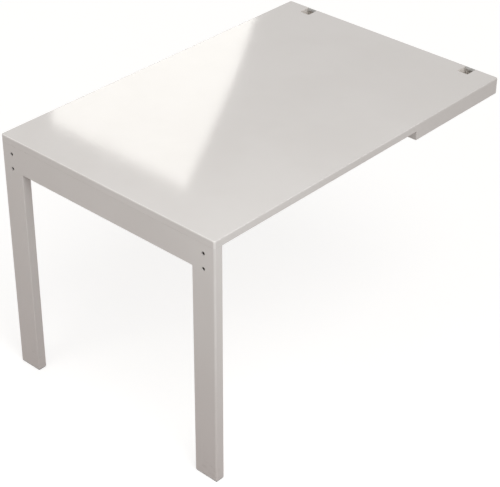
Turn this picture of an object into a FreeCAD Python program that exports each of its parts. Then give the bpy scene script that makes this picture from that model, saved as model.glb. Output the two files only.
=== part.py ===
import FreeCAD, Part
import os

# Wall mounted folding table, in millimetres.
# The origin is on the wall plane, at the middle of the wall-fixing holes in the rail.
# X runs across the table, the table stands out along -Y, and Z points up.

# Whole table
table_width = 800.0
table_length = 1200.0
table_height = 770.0
corner_round = 6.0
edge_round = 1.5
cut_overrun = 2.0

# Top panel
panel_thickness = 22.0
rim_round = 3.0

# Thick wall end: a glued and screwed box under the panel, as deep as the folded leg frame
block_length = 390.0
block_drop = 28.0
block_rail_width = 60.0
bottom_panel_thickness = 6.0
bottom_rebate_width = 12.0
bottom_panel_fit = 0.2
block_screw_bite = 10.0
block_side_screw_shares = (-0.32, 0.0, 0.32)
block_middle_screw_shares = (-0.2, 0.2)

# Leg frame
leg_width = 78.0
leg_depth = 28.0
apron_height = 80.0
frame_seam = 0.3
dowel_radius = 4.0
dowel_length = 40.0
dowel_fit = 0.05
dowel_height_shares = (0.25, 0.75)

# Foot pads
pad_thickness = 3.0
pad_inset = 1.5
pad_corner_round = 2.0

# Wall rail
rail_height = 70.0
rail_thickness = 20.0
rail_drop = 20.0
rail_end_margin = 18.0
fixing_drop = 50.0
fixing_hole_radius = 3.5
outer_fixing_inset = 100.0
inner_fixing_spacing = 160.0
end_gap = 0.5

# Wall hinges: a flat leaf on the rail, and an angled leaf in a deep pocket at the wall end
wall_hinge_inset = 95.0
wall_hinge_width = 34.0
wall_leaf_thickness = 3.0
wall_leaf_length = 50.0
wall_barrel_radius = 6.5
wall_pin_radius = 3.0
wall_pin_drop = 7.5
pocket_length = 45.0
pocket_depth = 34.0
pocket_gap = 1.0
pocket_corner_round = 4.0
angle_bend_round = 3.0

# Leg hinges, between the back of each leg and the underside of the panel
leg_hinge_width = 40.0
leg_leaf_thickness = 2.5
top_leaf_length = 40.0
leg_barrel_radius = 5.0
leg_pin_radius = 2.0
leg_pin_standoff = 0.75
leg_leaf_margin = 14.0

# What all the hinges share
knuckle_count = 5
knuckle_gap = 0.3
pin_fit = 0.05
pin_chamfer = 0.4
barrel_clearance = 0.4
mortise_fit = 0.1
leaf_corner_round = 4.0
leaf_edge_margin = 8.0

# Countersunk wood screws
screw_head_radius = 3.6
screw_shank_radius = 1.8
screw_tip_length = 4.0
screw_fit = 0.05
screw_skin = 5.0
cross_slot_length = 4.2
cross_slot_width = 1.0
cross_slot_depth = 1.2

# Leg bolts, sunk below the leg's face, and the sleeve nuts that they screw into
upper_bolt_drop = 28.0
bolt_spacing = 46.0
bolt_head_radius = 5.5
bolt_head_thickness = 4.0
bolt_head_recess = 3.0
bolt_shank_radius = 3.0
bolt_socket_radius = 2.9
bolt_socket_depth = 3.0
bolt_end_setback = 3.0
bolt_fit = 0.05
sleeve_radius = 4.5
sleeve_head_radius = 6.5
sleeve_length = 14.0

# Places worked out from the sizes above
vector = FreeCAD.Vector
half_width = table_width / 2
top_z = rail_drop + fixing_drop
floor_z = top_z - table_height
underside_z = top_z - panel_thickness
block_bottom_z = underside_z - block_drop
rail_top_z = top_z - rail_drop
rail_front_y = -rail_thickness
end_y = rail_front_y - end_gap
near_y = end_y - table_length
block_front_y = end_y - block_length
frame_top_z = underside_z - frame_seam
frame_back_y = near_y + leg_depth
apron_bottom_z = underside_z - apron_height
leg_bottom_z = floor_z + pad_thickness
inner_half = half_width - leg_width
leg_centre_x = half_width - leg_width / 2
wall_hinge_x = half_width - wall_hinge_inset
rail_half = wall_hinge_x + wall_hinge_width / 2 + rail_end_margin
wall_leaf_face = wall_barrel_radius - wall_leaf_thickness
wall_pin_y = rail_front_y - wall_leaf_face
wall_pin_z = top_z - wall_pin_drop
leg_pin_y = frame_back_y + leg_pin_standoff
leg_pin_z = underside_z - leg_pin_standoff
bolt_drops = (upper_bolt_drop, upper_bolt_drop + bolt_spacing)
leg_leaf_length = upper_bolt_drop + bolt_spacing + leg_leaf_margin
pocket_half = wall_hinge_width / 2 + pocket_gap
pocket_near_y = end_y - pocket_length
pocket_floor_z = top_z - pocket_depth
wall_reach = wall_barrel_radius + barrel_clearance
leg_reach = leg_barrel_radius + barrel_clearance
angle_face = wall_leaf_face - end_gap - wall_leaf_thickness
foot_length = pocket_length - pocket_gap
foot_end = wall_pin_y - end_y + foot_length
foot_bottom = wall_pin_z - pocket_floor_z
foot_top = foot_bottom - wall_leaf_thickness
toe_round = pocket_corner_round - pocket_gap
sides = {"left": -1, "right": 1}
parallel_share = 1e-6
same_place_share = 1e-3


def slab(x_span, y_span, z_span):
    low = vector(x_span[0], y_span[0], z_span[0])
    return Part.makeBox(x_span[1] - x_span[0], y_span[1] - y_span[0], z_span[1] - z_span[0], low)


def rod(radius, start, direction, length):
    return Part.makeCylinder(radius, length, vector(*start), vector(*direction))


def turned(points):
    # A solid of revolution about Z, from (radius, height) points that start and end on the axis.
    outline = [vector(radius, 0, height) for radius, height in points]
    face = Part.Face(Part.makePolygon(outline + outline[:1]))
    return face.revolve(vector(0, 0, 0), vector(0, 0, 1), 360)


def edges_along(shape, direction, test):
    # The straight edges of a shape that run along a direction and whose middle passes a test.
    wanted = vector(*direction)
    found = []
    for edge in shape.Edges:
        if edge.Curve.TypeId != "Part::GeomLine":
            continue
        run = edge.lastVertex().Point - edge.firstVertex().Point
        if run.cross(wanted).Length < run.Length * parallel_share and test(edge.CenterOfMass):
            found.append(edge)
    return found


def at(value, place):
    return abs(value - place) < edge_round * same_place_share


def placed(shape, origin, v_axis, w_axis):
    # Sets a shape's own Y along v and its own Z along w, with its origin at the given point.
    v = vector(*v_axis)
    w = vector(*w_axis)
    u = v.cross(w)
    o = vector(*origin)
    matrix = FreeCAD.Matrix(u.x, v.x, w.x, o.x, u.y, v.y, w.y, o.y, u.z, v.z, w.z, o.z, 0, 0, 0, 1)
    moved = shape.copy()
    moved.Placement = FreeCAD.Placement(matrix).multiply(shape.Placement)
    return moved


def shifted(shape, u, v, w):
    moved = shape.copy()
    moved.translate(vector(u, v, w))
    return moved


# Countersunk screw: the head's flat face is at the origin and the shank runs down -Z


def screw_outline(length, grow, lift):
    head = screw_head_radius + grow
    shank = screw_shank_radius + grow
    neck = screw_shank_radius - screw_head_radius
    shoulder = screw_tip_length - length
    return [(0, lift), (head, lift), (head, 0), (shank, neck), (shank, shoulder), (0, -length - grow)]


def screw(length):
    points = screw_outline(length, 0, 0)
    body = turned(points[:1] + points[2:])
    half_slot = cross_slot_length / 2
    half_wall = cross_slot_width / 2
    depth_span = (-cross_slot_depth, cut_overrun)
    slot_x = slab((-half_slot, half_slot), (-half_wall, half_wall), depth_span)
    slot_y = slab((-half_wall, half_wall), (-half_slot, half_slot), depth_span)
    return body.cut([slot_x, slot_y])


def screw_hole(length):
    return turned(screw_outline(length, screw_fit, cut_overrun))


# Hinge leaf in its own frame: the pin along X, the plate away along Y, its open face towards +Z


def knuckle_spans(width):
    size = (width - (knuckle_count - 1) * knuckle_gap) / knuckle_count
    starts = [-width / 2 + index * (size + knuckle_gap) for index in range(knuckle_count)]
    return [(start, start + size) for start in starts]


def plate_blank(half, near, far, low, high, round_radius):
    # A flat plate with rounded corners at its far end.
    plate = slab((-half, half), (near, far), (low, high))
    corners = edges_along(plate, (0, 0, 1), lambda point: at(point.y, far))
    return plate.makeFillet(round_radius, corners)


def flat_plate(width, reach, length, thickness, face):
    return plate_blank(width / 2, reach, length, -face - thickness, -face, leaf_corner_round)


def angled_plate():
    # A web that hangs below the knuckles, and a foot bent forward from it along the pocket's floor.
    half = wall_hinge_width / 2
    back = -angle_face - wall_leaf_thickness
    toe = back + foot_length
    web = slab((-half, half), (wall_reach, foot_bottom), (back, -angle_face))
    foot = slab((-half, half), (foot_top, foot_bottom), (back, toe))
    plate = web.fuse(foot).removeSplitter()
    plate = plate.makeFillet(toe_round, edges_along(plate, (0, 1, 0), lambda p: at(p.z, toe)))
    inside = edges_along(plate, (1, 0, 0), lambda p: at(p.y, foot_top) and at(p.z, -angle_face))
    plate = plate.makeFillet(angle_bend_round, inside)
    outside = edges_along(plate, (1, 0, 0), lambda p: at(p.y, foot_bottom) and at(p.z, back))
    return plate.makeFillet(angle_bend_round + wall_leaf_thickness, outside)


def hinge_leaf(plate, width, thickness, face, barrel_radius, pin_radius, first_knuckle, holes):
    reach = barrel_radius + barrel_clearance
    pieces = []
    for start, stop in knuckle_spans(width)[first_knuckle::2]:
        pieces.append(rod(barrel_radius, (start, 0, 0), (1, 0, 0), stop - start))
        pieces.append(slab((start, stop), (0, reach), (-face - thickness, -face)))
    bore = rod(pin_radius + pin_fit, (-width, 0, 0), (1, 0, 0), 2 * width)
    return plate.fuse(pieces).removeSplitter().cut([bore] + holes)


def leaf_mortise(width, length, thickness, face):
    half = width / 2 + mortise_fit
    far = length + mortise_fit
    return plate_blank(half, 0, far, -face - thickness, cut_overrun, leaf_corner_round + mortise_fit)


def leg_barrel_notch():
    half = leg_hinge_width / 2 + mortise_fit
    return rod(leg_reach, (-half, 0, 0), (1, 0, 0), 2 * half)


def hinge_pin(width, radius):
    pin = rod(radius, (-width / 2, 0, 0), (1, 0, 0), width)
    rims = [edge for edge in pin.Edges if edge.Curve.TypeId == "Part::GeomCircle"]
    return pin.makeChamfer(pin_chamfer, rims)


def triangle_places(width, near, far):
    # Two screws side by side near the barrel and one on the middle line near the plate's end.
    side = width / 2 - leaf_edge_margin
    first = near + leaf_edge_margin
    last = far - leaf_edge_margin
    return [(-side, first), (side, first), (0, last)]


def square_places(width, near, far):
    side = width / 2 - leaf_edge_margin
    rows = (near + leaf_edge_margin, far - leaf_edge_margin)
    return [(sign * side, row) for sign in (-1, 1) for row in rows]


# Where the hinges and their screws stand


def wall_hinge_origin(sign):
    return (sign * wall_hinge_x, wall_pin_y, wall_pin_z)


def leg_hinge_origin(sign):
    return (sign * leg_centre_x, leg_pin_y, leg_pin_z)


def wall_hinge_placed(shape, sign):
    return placed(shape, wall_hinge_origin(sign), (0, 0, -1), (0, -1, 0))


def top_leaf_placed(shape, sign):
    return placed(shape, leg_hinge_origin(sign), (0, 1, 0), (0, 0, -1))


def leg_leaf_placed(shape, sign):
    return placed(shape, leg_hinge_origin(sign), (0, 0, -1), (0, 1, 0))


rail_start = wall_pin_z - rail_top_z
wall_screw_places = triangle_places(wall_hinge_width, rail_start, wall_leaf_length)
foot_screw_places = square_places(wall_hinge_width, wall_reach, foot_end)
top_screw_places = square_places(leg_hinge_width, leg_reach, top_leaf_length)
wall_screw_length = rail_thickness - screw_skin
foot_screw_length = wall_leaf_thickness + pocket_floor_z - block_bottom_z - screw_skin
top_screw_length = panel_thickness - screw_skin


def at_places(shape, places, face):
    return [shifted(shape, u, v, -face) for u, v in places]


def on_the_foot(shape):
    # Stands a shape upright at each screw place of the angled leaf's foot.
    return [placed(shape, (u, foot_top, w), (0, 0, 1), (0, -1, 0)) for u, w in foot_screw_places]


wall_screw_holes = at_places(screw_hole(wall_screw_length), wall_screw_places, wall_leaf_face)
foot_screw_holes = on_the_foot(screw_hole(foot_screw_length))
top_screw_holes = at_places(screw_hole(top_screw_length), top_screw_places, leg_pin_standoff)


# Where the screws of the thick wall end stand


def block_screw_points():
    # Screws stand on the ledge of the rebate, along the four sides, and under the middle rail.
    ledge = block_rail_width - bottom_rebate_width / 2
    middle_y = (end_y + block_front_y) / 2
    points = []
    for share in block_side_screw_shares:
        points.append((share * table_width, end_y - ledge))
        points.append((share * table_width, block_front_y + ledge))
    for sign in sides.values():
        points.append((sign * (half_width - ledge), middle_y))
    for share in block_middle_screw_shares:
        points.append((0, middle_y + share * block_length))
    return points


block_screw_length = block_drop + block_screw_bite


def block_screws_placed(shape):
    # The heads lie flush with the bottom and the shanks run up into the panel.
    return [placed(shape, (x, y, block_bottom_z), (0, 1, 0), (0, 0, -1)) for x, y in block_screw_points()]


block_screw_holes = block_screws_placed(screw_hole(block_screw_length))


# Hinge pockets, open to the top and to the wall end


def pocket_cuts():
    cuts = []
    for sign in sides.values():
        x = sign * wall_hinge_x
        pocket = slab((x - pocket_half, x + pocket_half), (pocket_near_y, end_y + cut_overrun),
                      (pocket_floor_z, top_z + cut_overrun))
        near_corners = edges_along(pocket, (0, 0, 1), lambda point: at(point.y, pocket_near_y))
        cuts.append(pocket.makeFillet(pocket_corner_round, near_corners))
        cuts += [wall_hinge_placed(hole, sign) for hole in foot_screw_holes]
    return cuts


# Top panel


def make_top_panel():
    panel = slab((-half_width, half_width), (near_y, end_y), (underside_z, top_z))
    panel = panel.makeFillet(corner_round, edges_along(panel, (0, 0, 1), lambda point: True))
    rim = [edge for edge in panel.Edges if at(edge.BoundBox.ZMin, top_z)]
    panel = panel.makeFillet(rim_round, rim)
    cuts = block_screw_holes + pocket_cuts()
    mortise = leaf_mortise(leg_hinge_width, top_leaf_length, leg_leaf_thickness, leg_pin_standoff)
    for sign in sides.values():
        cuts += [top_leaf_placed(shape, sign) for shape in [mortise, leg_barrel_notch()] + top_screw_holes]
    return panel.cut(cuts)


# Thick wall end


def make_block():
    envelope = slab((-half_width, half_width), (block_front_y, end_y), (block_bottom_z, underside_z))
    wall_corners = edges_along(envelope, (0, 0, 1), lambda point: at(point.y, end_y))
    envelope = envelope.makeFillet(corner_round, wall_corners)
    rim = [edge for edge in envelope.Edges if at(edge.BoundBox.ZMax, block_bottom_z)]
    envelope = envelope.makeFillet(edge_round, rim)

    inner_x = half_width - block_rail_width
    rear_y = end_y - block_rail_width
    front_y = block_front_y + block_rail_width
    half_rail = block_rail_width / 2
    height = (block_bottom_z, underside_z)
    lip = bottom_rebate_width
    rebate_z = block_bottom_z + bottom_panel_thickness
    rebate = slab((-inner_x - lip, inner_x + lip), (front_y - lip, rear_y + lip),
                  (block_bottom_z - cut_overrun, rebate_z))
    spans = {
        "block_rear_rail": ((-inner_x, inner_x), (rear_y, end_y)),
        "block_front_rail": ((-inner_x, inner_x), (block_front_y, front_y)),
        "block_left_rail": ((-half_width, -inner_x), (block_front_y, end_y)),
        "block_right_rail": ((inner_x, half_width), (block_front_y, end_y)),
        "block_middle_rail": ((-half_rail, half_rail), (front_y, rear_y)),
    }
    cuts = [rebate] + block_screw_holes + pocket_cuts()
    shapes = {}
    for name, (x_span, y_span) in spans.items():
        shapes[name] = envelope.common(slab(x_span, y_span, height)).cut(cuts)
    fit = bottom_panel_fit
    panel = slab((-inner_x - lip + fit, inner_x + lip - fit), (front_y - lip + fit, rear_y + lip - fit),
                 (block_bottom_z, rebate_z))
    shapes["block_bottom_panel"] = panel.cut(block_screw_holes)
    shapes["block_screws"] = Part.makeCompound(block_screws_placed(screw(block_screw_length)))
    return shapes


# Leg bolts and sleeve nuts, with the head's outer face at the origin and the shank down -Z


def bolt_outline(grow, lift):
    head = bolt_head_radius + grow
    shank = bolt_shank_radius + grow
    end = bolt_end_setback + bolt_head_recess - leg_depth
    points = [(0, lift), (head, lift), (head, -bolt_head_thickness)]
    return points + [(shank, -bolt_head_thickness), (shank, end - grow), (0, end - grow)]


def hexagon(radius, depth):
    sixth = FreeCAD.Rotation(vector(0, 0, 1), 60)
    corners = [vector(radius, 0, -depth)]
    for _ in range(6):
        corners.append(sixth.multVec(corners[-1]))
    corners[-1] = corners[0]
    face = Part.Face(Part.makePolygon(corners))
    return face.extrude(vector(0, 0, depth + cut_overrun))


def leg_bolt():
    return turned(bolt_outline(0, 0)).cut(hexagon(bolt_socket_radius, bolt_socket_depth))


def bolt_hole():
    return turned(bolt_outline(bolt_fit, bolt_head_recess + cut_overrun))


def sleeve_outline(grow, lift):
    head = sleeve_head_radius + grow
    tube = sleeve_radius + grow
    neck = sleeve_radius - sleeve_head_radius
    return [(0, lift), (head, lift), (head, 0), (tube, neck), (tube, -sleeve_length), (0, -sleeve_length)]


def sleeve_nut():
    points = sleeve_outline(0, 0)
    bore = rod(bolt_shank_radius + bolt_fit, (0, 0, -2 * sleeve_length), (0, 0, 1), 4 * sleeve_length)
    return turned(points[:1] + points[2:]).cut(bore)


def sleeve_hole():
    return turned(sleeve_outline(bolt_fit, cut_overrun))


def bolts_placed(shape, sign):
    y = near_y + bolt_head_recess
    places = [(sign * leg_centre_x, y, underside_z - drop) for drop in bolt_drops]
    return [placed(shape, place, (0, 0, 1), (0, -1, 0)) for place in places]


sleeve_places = [(0, drop - leg_pin_standoff) for drop in bolt_drops]
sleeve_holes = at_places(sleeve_hole(), sleeve_places, leg_pin_standoff)


# Leg frame


def dowels_placed(sign, grow):
    start = inner_half - dowel_length / 2 - grow
    y = near_y + leg_depth / 2
    pegs = []
    for share in dowel_height_shares:
        z = frame_top_z - share * (frame_top_z - apron_bottom_z)
        pegs.append(rod(dowel_radius + grow, (sign * start, y, z), (sign, 0, 0), dowel_length + 2 * grow))
    return pegs


def make_leg_frame():
    depth = (near_y, frame_back_y)
    open_depth = (near_y - cut_overrun, frame_back_y + cut_overrun)
    envelope = slab((-half_width, half_width), depth, (leg_bottom_z, frame_top_z))
    opening = slab((-inner_half, inner_half), open_depth, (leg_bottom_z - cut_overrun, apron_bottom_z))
    envelope = envelope.cut(opening)
    upright = (0, 0, 1)
    front = edges_along(envelope, upright, lambda p: at(abs(p.x), half_width) and at(p.y, near_y))
    envelope = envelope.makeFillet(corner_round, front)
    rims = edges_along(envelope, upright, lambda p: at(abs(p.x), half_width) and at(p.y, frame_back_y))
    rims += edges_along(envelope, upright, lambda p: at(abs(p.x), inner_half))
    rims += edges_along(envelope, (1, 0, 0), lambda p: at(p.z, apron_bottom_z))
    envelope = envelope.makeFillet(edge_round, rims)

    full_height = (leg_bottom_z - cut_overrun, frame_top_z + cut_overrun)
    shapes = {}
    dowels = []
    dowel_holes = []
    for sign in sides.values():
        dowels += dowels_placed(sign, 0)
        dowel_holes += dowels_placed(sign, dowel_fit)
    between_legs = slab((-inner_half, inner_half), open_depth, full_height)
    shapes["apron"] = envelope.common(between_legs).cut(dowel_holes)
    shapes["apron_dowels"] = Part.makeCompound(dowels)
    mortise = leaf_mortise(leg_hinge_width, leg_leaf_length, leg_leaf_thickness, leg_pin_standoff)
    leaf_nuts = at_places(sleeve_nut(), sleeve_places, leg_pin_standoff)
    bolts = []
    nuts = []
    for side, sign in sides.items():
        x_span = sorted((sign * inner_half, sign * half_width))
        cuts = dowel_holes + bolts_placed(bolt_hole(), sign)
        cuts += [leg_leaf_placed(shape, sign) for shape in [mortise, leg_barrel_notch()] + sleeve_holes]
        shapes[side + "_leg"] = envelope.common(slab(x_span, open_depth, full_height)).cut(cuts)
        bolts += bolts_placed(leg_bolt(), sign)
        nuts += [leg_leaf_placed(nut, sign) for nut in leaf_nuts]
        pad_x = (x_span[0] + pad_inset, x_span[1] - pad_inset)
        pad = slab(pad_x, (near_y + pad_inset, frame_back_y - pad_inset), (floor_z, leg_bottom_z))
        pad = pad.makeFillet(pad_corner_round, edges_along(pad, upright, lambda point: True))
        shapes["foot_pad_" + side] = pad
    shapes["leg_bolts"] = Part.makeCompound(bolts)
    shapes["leg_sleeve_nuts"] = Part.makeCompound(nuts)
    return shapes


# Hinges


def make_hinges():
    wall_plate = flat_plate(wall_hinge_width, wall_reach, wall_leaf_length,
                            wall_leaf_thickness, wall_leaf_face)
    wall_leaf = hinge_leaf(wall_plate, wall_hinge_width, wall_leaf_thickness, wall_leaf_face,
                           wall_barrel_radius, wall_pin_radius, 0, wall_screw_holes)
    table_leaf = hinge_leaf(angled_plate(), wall_hinge_width, wall_leaf_thickness, angle_face,
                            wall_barrel_radius, wall_pin_radius, 1, foot_screw_holes)
    top_plate = flat_plate(leg_hinge_width, leg_reach, top_leaf_length, leg_leaf_thickness, leg_pin_standoff)
    top_leaf = hinge_leaf(top_plate, leg_hinge_width, leg_leaf_thickness, leg_pin_standoff,
                          leg_barrel_radius, leg_pin_radius, 0, top_screw_holes)
    leg_plate = flat_plate(leg_hinge_width, leg_reach, leg_leaf_length, leg_leaf_thickness, leg_pin_standoff)
    leg_leaf = hinge_leaf(leg_plate, leg_hinge_width, leg_leaf_thickness, leg_pin_standoff,
                          leg_barrel_radius, leg_pin_radius, 1, sleeve_holes)
    wall_pin = hinge_pin(wall_hinge_width, wall_pin_radius)
    leg_pin = hinge_pin(leg_hinge_width, leg_pin_radius)
    wall_screws = at_places(screw(wall_screw_length), wall_screw_places, wall_leaf_face)
    foot_screws = on_the_foot(screw(foot_screw_length))
    top_screws = at_places(screw(top_screw_length), top_screw_places, leg_pin_standoff)
    shapes = {}
    groups = {"wall_leaf_screws": [], "table_leaf_screws": [], "top_leaf_screws": []}
    for side, sign in sides.items():
        shapes["wall_hinge_leaf_" + side] = wall_hinge_placed(wall_leaf, sign)
        shapes["wall_hinge_pin_" + side] = wall_hinge_placed(wall_pin, sign)
        shapes["table_hinge_leaf_" + side] = wall_hinge_placed(table_leaf, sign)
        shapes["leg_hinge_top_leaf_" + side] = top_leaf_placed(top_leaf, sign)
        shapes["leg_hinge_pin_" + side] = top_leaf_placed(leg_pin, sign)
        shapes["leg_hinge_leg_leaf_" + side] = leg_leaf_placed(leg_leaf, sign)
        groups["wall_leaf_screws"] += [wall_hinge_placed(shape, sign) for shape in wall_screws]
        groups["table_leaf_screws"] += [wall_hinge_placed(shape, sign) for shape in foot_screws]
        groups["top_leaf_screws"] += [top_leaf_placed(shape, sign) for shape in top_screws]
    for name, solids in groups.items():
        shapes[name] = Part.makeCompound(solids)
    return shapes


# Wall rail


def make_wall_rail():
    bottom_z = rail_top_z - rail_height
    rail = slab((-rail_half, rail_half), (rail_front_y, 0), (bottom_z, rail_top_z))
    front_rim = [edge for edge in rail.Edges if at(edge.BoundBox.YMax, rail_front_y)]
    rail = rail.makeFillet(edge_round, front_rim)
    outer_x = rail_half - outer_fixing_inset
    inner_x = inner_fixing_spacing / 2
    cuts = []
    for x in (-outer_x, -inner_x, inner_x, outer_x):
        start = (x, rail_front_y - cut_overrun, rail_top_z - fixing_drop)
        cuts.append(rod(fixing_hole_radius, start, (0, 1, 0), rail_thickness + 2 * cut_overrun))
    mortise = leaf_mortise(wall_hinge_width, wall_leaf_length, wall_leaf_thickness, wall_leaf_face)
    for sign in sides.values():
        cuts += [wall_hinge_placed(shape, sign) for shape in [mortise] + wall_screw_holes]
    return rail.cut(cuts)


nodes = {"wall_rail": make_wall_rail(), "top_panel": make_top_panel()}
nodes.update(make_block())
nodes.update(make_leg_frame())
nodes.update(make_hinges())

os.makedirs("parts", exist_ok=True)
for name, shape in nodes.items():
    shape.exportStep("parts/" + name + ".step")
    print(name, "solids", len(shape.Solids), "valid", shape.isValid(), "volume", round(shape.Volume))
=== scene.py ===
import math

import bpy
from mathutils import Matrix, Vector


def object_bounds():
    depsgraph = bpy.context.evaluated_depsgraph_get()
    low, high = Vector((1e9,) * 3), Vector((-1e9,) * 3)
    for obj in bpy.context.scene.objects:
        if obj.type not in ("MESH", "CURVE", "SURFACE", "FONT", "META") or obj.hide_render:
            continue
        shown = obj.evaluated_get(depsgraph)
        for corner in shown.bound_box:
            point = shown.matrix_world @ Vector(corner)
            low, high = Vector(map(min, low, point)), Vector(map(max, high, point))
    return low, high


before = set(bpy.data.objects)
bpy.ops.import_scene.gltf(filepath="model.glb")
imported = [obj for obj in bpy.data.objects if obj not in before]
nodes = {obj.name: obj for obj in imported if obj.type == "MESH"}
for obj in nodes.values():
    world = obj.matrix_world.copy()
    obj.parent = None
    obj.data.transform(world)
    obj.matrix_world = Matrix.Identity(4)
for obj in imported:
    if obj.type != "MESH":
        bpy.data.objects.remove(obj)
cadLow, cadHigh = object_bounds()

floatSocket = "NodeSocketFloat"
colourSocket = "NodeSocketColor"
vectorSocket = "NodeSocketVector"


# helpers for node trees

def addNode(tree, kind, inputs=None, **settings):
    node = tree.nodes.new(kind)
    for name, value in settings.items():
        setattr(node, name, value)
    for key, value in (inputs or {}).items():
        feed(tree, value, node.inputs[key])
    return node


def feed(tree, source, socket):
    if isinstance(source, bpy.types.NodeSocket):
        tree.links.new(source, socket)
    else:
        socket.default_value = source


def newGroup(name, inputs, outputs):
    tree = bpy.data.node_groups.new(name, "ShaderNodeTree")
    for label, kind, value in inputs:
        tree.interface.new_socket(label, in_out="INPUT", socket_type=kind).default_value = value
    for label, kind in outputs:
        tree.interface.new_socket(label, in_out="OUTPUT", socket_type=kind)
    inlet, outlet = tree.nodes.new("NodeGroupInput"), tree.nodes.new("NodeGroupOutput")
    return tree, inlet.outputs, outlet.inputs


def useGroup(tree, group, **inputs):
    node = tree.nodes.new("ShaderNodeGroup")
    node.node_tree = group
    for label, value in inputs.items():
        feed(tree, value, node.inputs[label])
    return node.outputs


def objectPlace(tree):
    return tree.nodes.new("ShaderNodeTexCoord").outputs["Object"]  # moves with the piece


def objectFacing(tree):
    return tree.nodes.new("ShaderNodeTexCoord").outputs["Normal"]  # turns with the piece


def splitAxes(tree, vector):
    return addNode(tree, "ShaderNodeSeparateXYZ", {0: vector}).outputs


def noise(tree, place, scale, detail=2.0, rough=0.5, distort=0.0):
    inputs = {"Vector": place, "Scale": scale, "Detail": detail,
              "Roughness": rough, "Distortion": distort}
    return addNode(tree, "ShaderNodeTexNoise", inputs).outputs[0]


def remap(tree, value, low, high, toLow=0.0, toHigh=1.0, smooth=False):
    kind = "SMOOTHSTEP" if smooth else "LINEAR"
    inputs = {0: value, 1: low, 2: high, 3: toLow, 4: toHigh}
    return addNode(tree, "ShaderNodeMapRange", inputs, interpolation_type=kind).outputs[0]


def math2(tree, operation, a, b=0.0):
    return addNode(tree, "ShaderNodeMath", {0: a, 1: b}, operation=operation).outputs[0]


def mixColour(tree, factor, a, b):
    return addNode(tree, "ShaderNodeMix", {0: factor, 6: a, 7: b}, data_type="RGBA").outputs[2]


def mixValue(tree, factor, a, b):
    return addNode(tree, "ShaderNodeMix", {0: factor, 2: a, 3: b}, data_type="FLOAT").outputs[0]


def stretched(tree, place, scale):
    return addNode(tree, "ShaderNodeMapping", {"Vector": place, "Scale": scale}).outputs[0]


def bump(tree, height, strength, distance):
    inputs = {"Height": height, "Strength": strength, "Distance": distance}
    return addNode(tree, "ShaderNodeBump", inputs).outputs[0]


def newMaterial(name, **sockets):
    material = bpy.data.materials.new(name)
    material.use_nodes = True
    shader = material.node_tree.nodes["Principled BSDF"]
    for label, value in sockets.items():
        shader.inputs[label].default_value = value
    return material, material.node_tree, shader.inputs


def dress(material, *names):
    for name in names:
        slots = nodes[name].data.materials
        slots.clear()
        slots.append(material)


# sprayed lacquer: slow clouds in tone, orange peel, gloss that drifts a little

def makeLacquerFilm(finerDrift=3.0, finerPeel=3.1):
    inputs = [("Paint", colourSocket, (0.7, 0.7, 0.7, 1.0)),
              ("Thin", colourSocket, (0.68, 0.67, 0.65, 1.0)),
              ("Clouds", floatSocket, 5.0), ("Peel", floatSocket, 420.0),
              ("Gloss", floatSocket, 0.2), ("Haze", floatSocket, 0.3)]
    outputs = [("Colour", colourSocket), ("Roughness", floatSocket), ("Height", floatSocket)]
    tree, inlet, outlet = newGroup("lacquerFilm", inputs, outputs)
    place = objectPlace(tree)
    clouds = noise(tree, place, inlet["Clouds"], detail=3.0, rough=0.55)
    tone = remap(tree, clouds, low=0.35, high=0.7, smooth=True)
    feed(tree, mixColour(tree, tone, inlet["Paint"], inlet["Thin"]), outlet["Colour"])
    driftScale = math2(tree, "MULTIPLY", inlet["Clouds"], finerDrift)
    drift = noise(tree, place, driftScale, detail=4.0, rough=0.6)
    haze = remap(tree, drift, low=0.3, high=0.75)
    feed(tree, mixValue(tree, haze, inlet["Gloss"], inlet["Haze"]), outlet["Roughness"])
    coarse = noise(tree, place, inlet["Peel"], detail=1.0, rough=0.4)
    fineScale = math2(tree, "MULTIPLY", inlet["Peel"], finerPeel)
    fine = noise(tree, place, fineScale, detail=1.0, rough=0.4)
    feed(tree, math2(tree, "MULTIPLY", fine, coarse), outlet["Height"])
    return tree


# where edges are rubbed: the rounded normal departs from the true one there

def makeEdgeRub():
    inputs = [("Reach", floatSocket, 0.003), ("Breaks", floatSocket, 60.0)]
    tree, inlet, outlet = newGroup("edgeRub", inputs, [("Mask", floatSocket)])
    rounded = addNode(tree, "ShaderNodeBevel", {"Radius": inlet["Reach"]}, samples=6).outputs[0]
    true = tree.nodes.new("ShaderNodeNewGeometry").outputs["Normal"]
    both = {0: rounded, 1: true}
    along = addNode(tree, "ShaderNodeVectorMath", both, operation="DOT_PRODUCT").outputs["Value"]
    edge = remap(tree, along, low=0.995, high=0.86, smooth=True)
    wear = noise(tree, objectPlace(tree), inlet["Breaks"], detail=4.0, rough=0.65)
    patchy = remap(tree, wear, low=0.3, high=0.62)
    feed(tree, math2(tree, "MULTIPLY", edge, patchy), outlet["Mask"])
    return tree


# the rounded edges of a square board: their normals lie along none of its three directions. The
# lacquers paint them lighter there in patches, as a painted highlight

def makeBoardRound():
    inputs = [("Breaks", floatSocket, 12.0), ("Least", floatSocket, 0.5)]
    tree, inlet, outlet = newGroup("boardRound", inputs, [("Mask", floatSocket)])
    facing = {0: objectFacing(tree)}
    plain = addNode(tree, "ShaderNodeVectorMath", facing, operation="ABSOLUTE").outputs["Vector"]
    side = splitAxes(tree, plain)
    most = math2(tree, "MAXIMUM", math2(tree, "MAXIMUM", side["X"], side["Y"]), side["Z"])
    rim = remap(tree, most, low=0.995, high=0.93, smooth=True)
    wear = noise(tree, objectPlace(tree), inlet["Breaks"], detail=3.0, rough=0.6)
    patchy = remap(tree, wear, low=0.35, high=0.6, toLow=inlet["Least"])
    feed(tree, math2(tree, "MULTIPLY", rim, patchy), outlet["Mask"])
    return tree


# hairline marks in two directions, left by wiping or by the brushing of sheet steel

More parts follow.
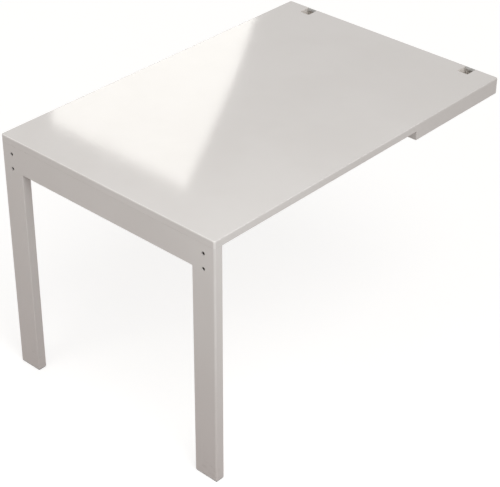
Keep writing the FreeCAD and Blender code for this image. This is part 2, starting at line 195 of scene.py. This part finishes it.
def makeHairlines(softness=0.1):
    inputs = [("Across", vectorSocket, (6.0, 900.0, 6.0)),
              ("Turn", floatSocket, 0.4), ("Spread", floatSocket, 0.62)]
    tree, inlet, outlet = newGroup("hairlines", inputs, [("Mask", floatSocket)])
    place = objectPlace(tree)
    found = []
    for side in (1.0, -1.0):
        angle = math2(tree, "MULTIPLY", inlet["Turn"], side)
        turn = addNode(tree, "ShaderNodeCombineXYZ", {2: angle}).outputs[0]
        inputs = {"Vector": place, "Rotation": turn, "Scale": inlet["Across"]}
        turned = addNode(tree, "ShaderNodeMapping", inputs).outputs[0]
        lines = noise(tree, turned, 1.0, rough=0.6, distort=0.2)
        full = math2(tree, "ADD", inlet["Spread"], softness)
        found.append(remap(tree, lines, low=inlet["Spread"], high=full))
    feed(tree, math2(tree, "MAXIMUM", found[0], found[1]), outlet["Mask"])
    return tree


# dust that settles on what faces up, and a mask of the occluded corners and recesses where shade
# falls, used to paint shade into the colour there, and on the wall hinges paler light

def makeSettledDust(driftScale=14.0):
    inputs = [("Amount", floatSocket, 0.3), ("Grain", floatSocket, 900.0)]
    tree, inlet, outlet = newGroup("settledDust", inputs, [("Mask", floatSocket)])
    up = splitAxes(tree, objectFacing(tree))["Z"]
    flat = remap(tree, up, low=0.4, high=0.95, smooth=True)
    place = objectPlace(tree)
    drifts = remap(tree, noise(tree, place, driftScale, detail=4.0, rough=0.6), low=0.3, high=0.7)
    specks = remap(tree, noise(tree, place, inlet["Grain"], detail=1.0), low=0.55, high=0.75)
    lying = math2(tree, "MULTIPLY", math2(tree, "MAXIMUM", specks, drifts), flat)
    feed(tree, math2(tree, "MULTIPLY", lying, inlet["Amount"]), outlet["Mask"])
    return tree


def makeOccludedCorners():
    inputs = [("Reach", floatSocket, 0.006), ("Amount", floatSocket, 0.5)]
    tree, inlet, outlet = newGroup("occludedCorners", inputs, [("Mask", floatSocket)])
    reach = {"Distance": inlet["Reach"]}
    openness = addNode(tree, "ShaderNodeAmbientOcclusion", reach, samples=6).outputs["AO"]
    shut = remap(tree, openness, low=0.75, high=0.2)
    feed(tree, math2(tree, "MULTIPLY", shut, inlet["Amount"]), outlet["Mask"])
    return tree


# the walls of the hinge pockets, found by their place round the angled leaves, where the lacquers
# paint a lighter colour as painted light in the pockets' shade

def makePocketWalls(leaf, panel, mostTilt=0.3):
    places = [vertex.co for vertex in leaf.data.vertices]
    left, right = min(place.x for place in places), max(place.x for place in places)
    toe = min(place.y for place in places)
    wallEdge = max(vertex.co.y for vertex in panel.data.vertices)
    inputs = [("Gap", floatSocket, 0.0015)]
    tree, inlet, outlet = newGroup("pocketWalls", inputs, [("Mask", floatSocket)])
    place = splitAxes(tree, objectPlace(tree))
    fromMiddle = math2(tree, "ABSOLUTE", place["X"])  # both sides alike
    away = math2(tree, "SUBTRACT", fromMiddle, (left + right) / 2)
    reach = math2(tree, "ADD", inlet["Gap"], (right - left) / 2)
    across = math2(tree, "LESS_THAN", math2(tree, "ABSOLUTE", away), reach)
    past = math2(tree, "GREATER_THAN", math2(tree, "ADD", place["Y"], inlet["Gap"]), toe)
    along = math2(tree, "MULTIPLY", past, math2(tree, "LESS_THAN", place["Y"], wallEdge))
    tilt = math2(tree, "ABSOLUTE", splitAxes(tree, objectFacing(tree))["Z"])
    upright = math2(tree, "LESS_THAN", tilt, mostTilt)
    inside = math2(tree, "MULTIPLY", across, along)
    feed(tree, math2(tree, "MULTIPLY", inside, upright), outlet["Mask"])
    return tree


lacquerFilm = makeLacquerFilm()
edgeRub = makeEdgeRub()
boardRound = makeBoardRound()
hairlines = makeHairlines()
settledDust = makeSettledDust()
occludedCorners = makeOccludedCorners()
pocketWalls = makePocketWalls(nodes["table_hinge_leaf_right"], nodes["top_panel"])
print("node groups:", len(bpy.data.node_groups))


# the groups, placed with the values of one piece

def sprayFilm(tree, size):
    return useGroup(tree, lacquerFilm, Paint=size["paint"], Thin=size["thin"],
                    Clouds=size["clouds"], Peel=size["peel"],
                    Gloss=size["gloss"], Haze=size["haze"])


def highlightRounds(tree, size):
    return useGroup(tree, boardRound, Breaks=size["edgeBreaks"], Least=size["highlightLeast"])["Mask"]


def rubEdges(tree, size):
    return useGroup(tree, edgeRub, Reach=size["rubReach"], Breaks=size["edgeBreaks"])["Mask"]


def drawLines(tree, size):
    return useGroup(tree, hairlines, Across=size["lineAcross"], Turn=size["lineTurn"],
                    Spread=size["lineSpread"])["Mask"]


# mask of occluded corners and recesses, where colour is painted for shade
def shadedCorners(tree, size):
    return useGroup(tree, occludedCorners, Reach=size["shadeReach"], Amount=size["shadeShare"])["Mask"]


# top panel: the glossiest lacquer, wiped every day, and a plainer coat below

topPanel = {
    "paint": (0.718, 0.684, 0.659, 1.0),
    "thin": (0.698, 0.663, 0.637, 1.0),
    "rubAndHighlight": (0.82, 0.785, 0.76, 1.0),
    "pocket": (0.88, 0.83, 0.79, 1.0),
    "cornerShade": (0.42, 0.39, 0.36, 1.0),
    "refraction": 1.5,
    "clouds": 4.0,
    "gloss": 0.034,
    "haze": 0.057,
    "wipeMark": 0.106,
    "wipeShare": 0.35,
    "below": 0.5,  # roughness of the sides and the underside
    "peel": 330.0,
    "peelStrength": 0.25,
    "peelDepth": 0.00004,
    "edgeBreaks": 10.0,
    "highlightLeast": 0.6,
    "sideHighlight": 0.0,  # share of the painted highlight along the two long sides
    "lineAcross": (3.0, 700.0, 3.0),
    "lineTurn": 0.5,
    "lineSpread": 0.63,
    "shadeReach": 0.004,
    "shadeShare": 0.55,
}


def makeTopLacquer(size):
    material, tree, shader = newMaterial("topLacquer", IOR=size["refraction"])
    film = sprayFilm(tree, size)
    facing = splitAxes(tree, objectFacing(tree))
    endward = math2(tree, "ABSOLUTE", facing["Y"])
    atEnd = remap(tree, endward, low=0.05, high=0.35, toLow=size["sideHighlight"])
    # painted highlight: lighter colour on the rounded edges of the ends, in patches
    rubAndHighlight = math2(tree, "MULTIPLY", highlightRounds(tree, size), atEnd)
    colour = mixColour(tree, rubAndHighlight, film["Colour"], size["rubAndHighlight"])
    # painted light: the pocket walls lighter, against the shade that falls in them
    colour = mixColour(tree, useGroup(tree, pocketWalls)["Mask"], colour, size["pocket"])
    # painted shade: darker colour in the corners and seams where the occlusion mask finds them
    colour = mixColour(tree, shadedCorners(tree, size), colour, size["cornerShade"])
    feed(tree, colour, shader["Base Color"])
    wipes = math2(tree, "MULTIPLY", drawLines(tree, size), size["wipeShare"])
    rough = mixValue(tree, wipes, film["Roughness"], size["wipeMark"])
    offTop = remap(tree, facing["Z"], low=0.6, high=0.05)
    feed(tree, mixValue(tree, offTop, rough, size["below"]), shader["Roughness"])
    peel = bump(tree, film["Height"], size["peelStrength"], size["peelDepth"])
    feed(tree, peel, shader["Normal"])
    return material


dress(makeTopLacquer(topPanel), "top_panel")
print("top panel dressed")


# leg frame: the same paint, sprayed standing up, with scuffs near the floor and painted shade that
# darkens the legs toward the floor

legFrame = {
    "paint": (0.718, 0.684, 0.659, 1.0),
    "thin": (0.698, 0.663, 0.637, 1.0),
    "rubAndHighlight": (0.755, 0.72, 0.695, 1.0),
    "scuff": (0.50, 0.45, 0.42, 1.0),
    "lowShade": (0.632, 0.575, 0.554, 1.0),
    "cornerShade": (0.36, 0.33, 0.31, 1.0),
    "refraction": 1.5,
    "clouds": 3.0,
    "gloss": 0.46,
    "haze": 0.54,
    "peel": 380.0,
    "peelStrength": 0.3,
    "peelDepth": 0.00005,
    "edgeBreaks": 14.0,
    "highlightLeast": 0.5,
    "shadeReach": 0.005,
    "shadeShare": 0.5,
    "scuffHeight": 0.12,
    "scuffAcross": (40.0, 40.0, 160.0),
    "scuffShare": 0.5,
    "scuffDull": 0.5,  # roughness that a full scuff adds
    "lowShadeHeight": 0.45,
    "lowShadeShare": 0.6,
}


def makeFrameLacquer(size):
    material, tree, shader = newMaterial("frameLacquer", IOR=size["refraction"])
    film = sprayFilm(tree, size)
    height = splitAxes(tree, objectPlace(tree))["Z"]
    low = remap(tree, height, cadLow.z + size["scuffHeight"], cadLow.z, smooth=True)
    lowShadeTop = cadLow.z + size["lowShadeHeight"]
    # painted shade: the legs grow darker toward the floor
    lowShade = remap(tree, height, lowShadeTop, cadLow.z, toHigh=size["lowShadeShare"])
    smears = stretched(tree, objectPlace(tree), size["scuffAcross"])
    streaks = noise(tree, smears, 1.0, detail=3.0, rough=0.6, distort=0.4)
    marks = remap(tree, streaks, low=0.58, high=0.72)
    scuff = math2(tree, "MULTIPLY", math2(tree, "MULTIPLY", marks, low), size["scuffShare"])
    # painted highlight: lighter colour on the rounded edges, in patches
    colour = mixColour(tree, highlightRounds(tree, size), film["Colour"], size["rubAndHighlight"])
    colour = mixColour(tree, lowShade, colour, size["lowShade"])
    colour = mixColour(tree, scuff, colour, size["scuff"])
    # painted shade: darker colour in the corners and seams where the occlusion mask finds them
    colour = mixColour(tree, shadedCorners(tree, size), colour, size["cornerShade"])
    feed(tree, colour, shader["Base Color"])
    dull = math2(tree, "MULTIPLY", scuff, size["scuffDull"])
    feed(tree, math2(tree, "ADD", film["Roughness"], dull), shader["Roughness"])
    peel = bump(tree, film["Height"], size["peelStrength"], size["peelDepth"])
    feed(tree, peel, shader["Normal"])
    return material


dress(makeFrameLacquer(legFrame), "apron", "left_leg", "right_leg")
print("leg frame dressed")


# thick wall end and wall rail: lacquered too, dustier where nobody wipes

wallEnd = {
    "paint": (0.718, 0.684, 0.659, 1.0),
    "thin": (0.698, 0.663, 0.637, 1.0),
    "rubAndHighlight": (0.755, 0.72, 0.695, 1.0),
    "pocket": (0.88, 0.83, 0.79, 1.0),
    "dust": (0.60, 0.57, 0.54, 1.0),
    "cornerShade": (0.38, 0.35, 0.33, 1.0),
    "refraction": 1.5,
    "clouds": 4.0,
    "gloss": 0.46,
    "haze": 0.56,
    "peel": 360.0,
    "peelStrength": 0.3,
    "peelDepth": 0.00006,
    "edgeBreaks": 18.0,
    "highlightLeast": 0.3,
    "shadeReach": 0.004,
    "shadeShare": 0.5,
    "dustShare": 0.35,
    "dustGrain": 800.0,
    "dustDull": 0.5,  # roughness that full dust adds
}


def makeWallEndLacquer(size):
    material, tree, shader = newMaterial("wallEndLacquer", IOR=size["refraction"])
    film = sprayFilm(tree, size)
    dust = useGroup(tree, settledDust, Amount=size["dustShare"], Grain=size["dustGrain"])["Mask"]
    # painted highlight: lighter colour on the rounded edges, in patches
    colour = mixColour(tree, highlightRounds(tree, size), film["Colour"], size["rubAndHighlight"])
    # painted light: the pocket walls lighter, against the shade that falls in them
    colour = mixColour(tree, useGroup(tree, pocketWalls)["Mask"], colour, size["pocket"])
    colour = mixColour(tree, dust, colour, size["dust"])
    # painted shade: darker colour in the corners and seams where the occlusion mask finds them
    colour = mixColour(tree, shadedCorners(tree, size), colour, size["cornerShade"])
    feed(tree, colour, shader["Base Color"])
    dull = math2(tree, "MULTIPLY", dust, size["dustDull"])
    feed(tree, math2(tree, "ADD", film["Roughness"], dull), shader["Roughness"])
    peel = bump(tree, film["Height"], size["peelStrength"], size["peelDepth"])
    feed(tree, peel, shader["Normal"])
    return material


blockNodes = [name for name in nodes if name.startswith("block_") and name != "block_screws"]
dress(makeWallEndLacquer(wallEnd), "wall_rail", *blockNodes)
print("wall end dressed:", len(blockNodes), "boards and the rail")


# hinges: brushed steel with smudges. Deep in the pockets of the wall hinges, where shade falls, a
# pale colour is painted as painted light, and in the corners of the leg hinges a dark colour is
# painted as painted shade

hingeSteel = {
    "lineAcross": (40.0, 2600.0, 2600.0),
    "lineTurn": 0.03,
    "lineSpread": 0.48,
    "lineStrength": 0.35,
    "lineDepth": 0.00003,
    "rubReach": 0.0007,
    "edgeBreaks": 200.0,
    "smudges": 90.0,
    "occlusionRough": 0.8,
}

wallHinges = {
    **hingeSteel,
    "bright": (0.46, 0.45, 0.435, 1.0),
    "dull": (0.34, 0.33, 0.315, 1.0),
    "occlusionTone": (0.90, 0.87, 0.83, 1.0),
    "shadeReach": 0.025,
    "shadeShare": 1.0,
    "occlusionMetal": 0.0,
    "wallwardShare": 0.0,  # share of it on faces toward the wall
    "gloss": 0.44,
    "brushed": 0.6,
}

legHinges = {
    **hingeSteel,
    "bright": (0.60, 0.59, 0.57, 1.0),
    "dull": (0.46, 0.45, 0.43, 1.0),
    "occlusionTone": (0.10, 0.09, 0.08, 1.0),
    "shadeReach": 0.004,
    "shadeShare": 0.75,
    "occlusionMetal": 0.6,
    "wallwardShare": 1.0,
    "gloss": 0.4,
    "brushed": 0.56,
}


def makeHingeSteel(name, size):
    material, tree, shader = newMaterial(name)
    lines = drawLines(tree, size)
    wallward = splitAxes(tree, objectFacing(tree))["Y"]
    share = remap(tree, wallward, low=0.0, high=0.3, toLow=1.0, toHigh=size["wallwardShare"])
    # painted light and shade: pale in the shaded pockets of the wall hinges, dark in the corners
    # of the leg hinges
    occlusionTone = math2(tree, "MULTIPLY", shadedCorners(tree, size), share)
    patches = noise(tree, objectPlace(tree), size["smudges"], detail=3.0, rough=0.6)
    smudge = remap(tree, patches, low=0.4, high=0.65)
    colour = mixColour(tree, smudge, size["bright"], size["dull"])
    colour = mixColour(tree, rubEdges(tree, size), colour, size["bright"])
    feed(tree, mixColour(tree, occlusionTone, colour, size["occlusionTone"]), shader["Base Color"])
    feed(tree, mixValue(tree, occlusionTone, 1.0, size["occlusionMetal"]), shader["Metallic"])
    rough = mixValue(tree, lines, size["gloss"], size["brushed"])
    feed(tree, mixValue(tree, occlusionTone, rough, size["occlusionRough"]), shader["Roughness"])
    feed(tree, bump(tree, lines, size["lineStrength"], size["lineDepth"]), shader["Normal"])
    return material


hingeNodes = [name for name in nodes if "hinge" in name]
legNodes = [name for name in hingeNodes if name.startswith("leg_")]
wallNodes = [name for name in hingeNodes if name not in legNodes]
dress(makeHingeSteel("darkSteel", wallHinges), *wallNodes)
dress(makeHingeSteel("brightSteel", legHinges), *legNodes)
print("hinges dressed:", len(hingeNodes), "leaves and pins")


# screws and sleeve nuts: bright zinc, with painted shade dark in the drive and other recesses

zincFastener = {
    "bright": (0.62, 0.62, 0.60, 1.0),
    "cloud": (0.50, 0.50, 0.47, 1.0),
    "recessShade": (0.06, 0.055, 0.05, 1.0),
    "metal": 1.0,
    "clouds": 420.0,
    "gloss": 0.22,
    "dull": 0.4,
    "rubReach": 0.0004,
    "edgeBreaks": 300.0,
    "shadeReach": 0.0025,
    "shadeShare": 0.9,
}


def makeZinc(size):
    material, tree, shader = newMaterial("zincFastener", Metallic=size["metal"])
    patches = noise(tree, objectPlace(tree), size["clouds"], detail=3.0, rough=0.6)
    cloud = remap(tree, patches, low=0.35, high=0.65)
    colour = mixColour(tree, cloud, size["bright"], size["cloud"])
    colour = mixColour(tree, rubEdges(tree, size), colour, size["bright"])
    # painted shade: dark colour in the drive and other recesses that the occlusion mask finds
    colour = mixColour(tree, shadedCorners(tree, size), colour, size["recessShade"])
    feed(tree, colour, shader["Base Color"])
    feed(tree, mixValue(tree, cloud, size["gloss"], size["dull"]), shader["Roughness"])
    return material


zincNodes = [name for name in nodes if name.endswith(("screws", "nuts"))]
dress(makeZinc(zincFastener), *zincNodes)
print("zinc fasteners dressed:", len(zincNodes), "groups")


# leg bolts: blackened steel, rubbed bright where the key turns

legBolts = {
    "black": (0.045, 0.043, 0.042, 1.0),
    "brown": (0.075, 0.062, 0.052, 1.0),
    "rubbed": (0.30, 0.29, 0.28, 1.0),
    "metal": 0.6,
    "clouds": 500.0,
    "gloss": 0.34,
    "dull": 0.55,
    "rubReach": 0.0004,
    "edgeBreaks": 260.0,
    "rubShare": 0.7,
}


def makeBlackSteel(size):
    material, tree, shader = newMaterial("blackSteel", Metallic=size["metal"])
    rubAndHighlight = math2(tree, "MULTIPLY", rubEdges(tree, size), size["rubShare"])
    patches = noise(tree, objectPlace(tree), size["clouds"], detail=3.0, rough=0.6)
    cloud = remap(tree, patches, low=0.35, high=0.65)
    colour = mixColour(tree, cloud, size["black"], size["brown"])
    feed(tree, mixColour(tree, rubAndHighlight, colour, size["rubbed"]), shader["Base Color"])
    feed(tree, mixValue(tree, cloud, size["gloss"], size["dull"]), shader["Roughness"])
    return material


dress(makeBlackSteel(legBolts), "leg_bolts")
print("leg bolts dressed")


# foot pads: dark moulded plastic, scratched pale where they slide

footPad = {
    "dark": (0.045, 0.042, 0.04, 1.0),
    "worn": (0.16, 0.15, 0.14, 1.0),
    "refraction": 1.48,
    "gloss": 0.45,
    "dull": 0.65,
    "grain": 1500.0,
    "grainStrength": 0.4,
    "grainDepth": 0.0001,
    "rubReach": 0.001,
    "edgeBreaks": 180.0,
    "lineAcross": (30.0, 900.0, 30.0),
    "lineTurn": 0.6,
    "lineSpread": 0.6,
    "lineShare": 0.5,
}


def makePadPlastic(size):
    material, tree, shader = newMaterial("padPlastic", IOR=size["refraction"])
    lines = math2(tree, "MULTIPLY", drawLines(tree, size), size["lineShare"])
    worn = math2(tree, "MAXIMUM", rubEdges(tree, size), lines)
    grain = noise(tree, objectPlace(tree), size["grain"])
    rough = remap(tree, grain, low=0.3, high=0.7, toLow=size["gloss"], toHigh=size["dull"])
    feed(tree, mixColour(tree, worn, size["dark"], size["worn"]), shader["Base Color"])
    feed(tree, rough, shader["Roughness"])
    feed(tree, bump(tree, grain, size["grainStrength"], size["grainDepth"]), shader["Normal"])
    return material


dress(makePadPlastic(footPad), "foot_pad_left", "foot_pad_right")
print("foot pads dressed")


# dowels: beech with its short dark flecks along the grain

beech = {
    "pale": (0.62, 0.43, 0.27, 1.0),
    "dark": (0.45, 0.28, 0.16, 1.0),
    "refraction": 1.45,
    "gloss": 0.5,
    "dull": 0.7,
    "grainAcross": (60.0, 900.0, 900.0),
    "grainStrength": 0.4,
    "grainDepth": 0.00015,
}


def makeBeech(size):
    material, tree, shader = newMaterial("beechDowel", IOR=size["refraction"])
    along = stretched(tree, objectPlace(tree), size["grainAcross"])
    grain = noise(tree, along, 1.0, detail=3.0, rough=0.6, distort=0.3)
    flecks = remap(tree, grain, low=0.45, high=0.68)
    rough = remap(tree, flecks, low=0.0, high=1.0, toLow=size["gloss"], toHigh=size["dull"])
    feed(tree, mixColour(tree, flecks, size["pale"], size["dark"]), shader["Base Color"])
    feed(tree, rough, shader["Roughness"])
    feed(tree, bump(tree, flecks, size["grainStrength"], size["grainDepth"]), shader["Normal"])
    return material


dress(makeBeech(beech), "apron_dowels")
print("dowels dressed")


# floor and world: white to the eye, with the table's shadow, but dimmer and warmer as light

studio = {
    "floorSide": 14.0,
    "seen": 0.67,  # glow of the floor, which its shade brings up to white
    "shade": (0.46, 0.45, 0.44, 1.0),
    "bounce": (0.25, 0.205, 0.19, 1.0),
    "white": (1.0, 1.0, 1.0, 1.0),
    "ambient": (1.0, 0.99, 0.975, 1.0),
    "ambientStrength": 0.52,
}


def rayMask(tree):
    path = tree.nodes.new("ShaderNodeLightPath").outputs
    seen = math2(tree, "MAXIMUM", path["Is Camera Ray"], path["Is Glossy Ray"])
    return math2(tree, "MAXIMUM", seen, path["Is Transmission Ray"])


def newStagePiece(name, corners):
    mesh = bpy.data.meshes.new(name)
    mesh.from_pydata(corners, [], [range(len(corners))])
    piece = bpy.data.objects.new(name, mesh)
    bpy.context.scene.collection.objects.link(piece)
    material = bpy.data.materials.new(name)
    material.use_nodes = True
    material.node_tree.nodes.clear()
    mesh.materials.append(material)
    return piece, material.node_tree


def makeFloor(size):
    half = size["floorSide"] / 2
    corners = [(-half, -half, 0.0), (half, -half, 0.0), (half, half, 0.0), (-half, half, 0.0)]
    floor, tree = newStagePiece("studioFloor", corners)
    floor.location = (0.0, (cadLow.y + cadHigh.y) / 2, cadLow.z)
    glow = addNode(tree, "ShaderNodeEmission", {"Strength": size["seen"]}).outputs[0]
    shade = addNode(tree, "ShaderNodeBsdfDiffuse", {"Color": size["shade"]}).outputs[0]
    bounce = addNode(tree, "ShaderNodeBsdfDiffuse", {"Color": size["bounce"]}).outputs[0]
    white = addNode(tree, "ShaderNodeAddShader", {0: glow, 1: shade}).outputs[0]
    mixed = {0: rayMask(tree), 1: bounce, 2: white}
    both = addNode(tree, "ShaderNodeMixShader", mixed).outputs[0]
    addNode(tree, "ShaderNodeOutputMaterial", {"Surface": both})


def makeWorld(size):
    world = bpy.data.worlds.new("studioWorld")
    world.use_nodes = True
    tree = world.node_tree
    tree.nodes.clear()
    ambient = {"Color": size["ambient"], "Strength": size["ambientStrength"]}
    light = addNode(tree, "ShaderNodeBackground", ambient).outputs[0]
    white = addNode(tree, "ShaderNodeBackground", {"Color": size["white"]}).outputs[0]
    mixed = {0: rayMask(tree), 1: light, 2: white}
    both = addNode(tree, "ShaderNodeMixShader", mixed).outputs[0]
    addNode(tree, "ShaderNodeOutputWorld", {"Surface": both})
    bpy.context.scene.world = world


makeFloor(studio)
makeWorld(studio)
print("floor and world ready")


# lamps: a soft sun high on the right, a slanting bright panel far behind that the top mirrors,
# a lamp in front, one near the right leg, a weak one beside the long edge, a low sun behind

lamps = {
    "sunPlace": (0.0, 0.0, 3.0),
    "sunFrom": (0.55, -0.10, 0.83),
    "sunStrength": 0.635,
    "sunAngle": 42.0,  # degrees
    "panelFrom": 16.42,  # y of the panel, whose corners are x and z
    "panel": [(-21.64, 14.93), (-17.34, 14.93), (-15.85, 11.67), (-15.06, 9.47), (-21.28, 9.47)],
    "panelTint": (0.97, 0.965, 0.93, 1.0),
    "panelRadiance": 4.35,
    "frontFrom": (-0.4, -3.4, 1.5),
    "frontAim": (0.0, -1.2, -0.2),
    "frontSide": 1.8,
    "frontTint": (1.0, 0.99, 0.98),
    "frontRadiance": 1.28,
    "fillFrom": (1.65, -1.85, 1.0),
    "fillAim": (0.4, -1.2, 0.0),
    "fillSide": 1.0,
    "fillTint": (0.94, 1.0, 1.03),
    "fillRadiance": 4.0,
    "edgeFrom": (2.0, -0.35, 0.2),
    "edgeAim": (0.4, -0.35, 0.03),
    "edgeSide": 0.9,
    "edgeTint": (1.0, 0.99, 0.97),
    "edgeRadiance": 0.36,
    "backFrom": (-0.25, 1.0, 0.03),
    "backStrength": 0.45,
    "backAngle": 12.0,  # degrees
}


def addLamp(name, kind, place, back):
    lamp = bpy.data.objects.new(name, bpy.data.lights.new(name, kind))
    lamp.location = place
    lamp.rotation_euler = Vector(back).to_track_quat("Z", "Y").to_euler()  # it shines down its -Z
    lamp.visible_camera = False
    lamp.visible_glossy = False  # the panel alone is mirrored in the lacquer
    bpy.context.scene.collection.objects.link(lamp)
    return lamp.data


def addSquare(name, place, aim, side, tint, radiance):
    light = addLamp(name, "AREA", place, Vector(place) - Vector(aim))
    light.size = side
    light.color = tint
    light.energy = radiance * math.pi * side * side


def makePanel(size):
    corners = [(x, size["panelFrom"], z) for x, z in size["panel"]]
    panel, tree = newStagePiece("brightPanel", corners)
    panel.visible_camera = False
    shine = {"Color": size["panelTint"], "Strength": size["panelRadiance"]}
    glow = addNode(tree, "ShaderNodeEmission", shine).outputs[0]
    addNode(tree, "ShaderNodeOutputMaterial", {"Surface": glow})


def makeLamps(size):
    for name in ("sun", "back"):
        light = addLamp(name + "Lamp", "SUN", size["sunPlace"], size[name + "From"])
        light.energy = size[name + "Strength"]
        light.angle = math.radians(size[name + "Angle"])
    for name in ("front", "fill", "edge"):
        values = [size[name + part] for part in ("From", "Aim", "Side", "Tint", "Radiance")]
        addSquare(name + "Lamp", *values)


makePanel(lamps)
makeLamps(lamps)
print("lamps ready:", len(bpy.data.lights), "and the panel")


# camera: the photo's view, fitted to the table's corners and feet

camera = {
    "eye": (2.5597, -3.4746, 2.0971),
    "right": (0.73885, 0.67385, 0.00457),
    "down": (0.36163, -0.39077, -0.84647),
    "forward": (-0.56862, 0.62707, -0.53241),
    "focalPixels": 1536.4,
    "imageWidth": 500.0,
    "imageHeight": 487.0,
    "centreRow": 220.0,  # image row that the lens points at
    "sensor": 36.0,
    "clipEnd": 100.0,
}


def makeCamera(size):
    lens = bpy.data.cameras.new("photoCamera")
    lens.sensor_width = size["sensor"]
    lens.lens = size["focalPixels"] / size["imageWidth"] * size["sensor"]
    lens.shift_y = (size["centreRow"] - size["imageHeight"] / 2) / size["imageWidth"]
    lens.clip_end = size["clipEnd"]
    view = bpy.data.objects.new("photoCamera", lens)
    axes = Matrix((Vector(size["right"]), -Vector(size["down"]), -Vector(size["forward"])))
    view.matrix_world = Matrix.Translation(size["eye"]) @ axes.transposed().to_4x4()
    bpy.context.scene.collection.objects.link(view)
    bpy.context.scene.camera = view


makeCamera(camera)
bpy.context.scene.view_settings.view_transform = "Standard"
print("camera ready")
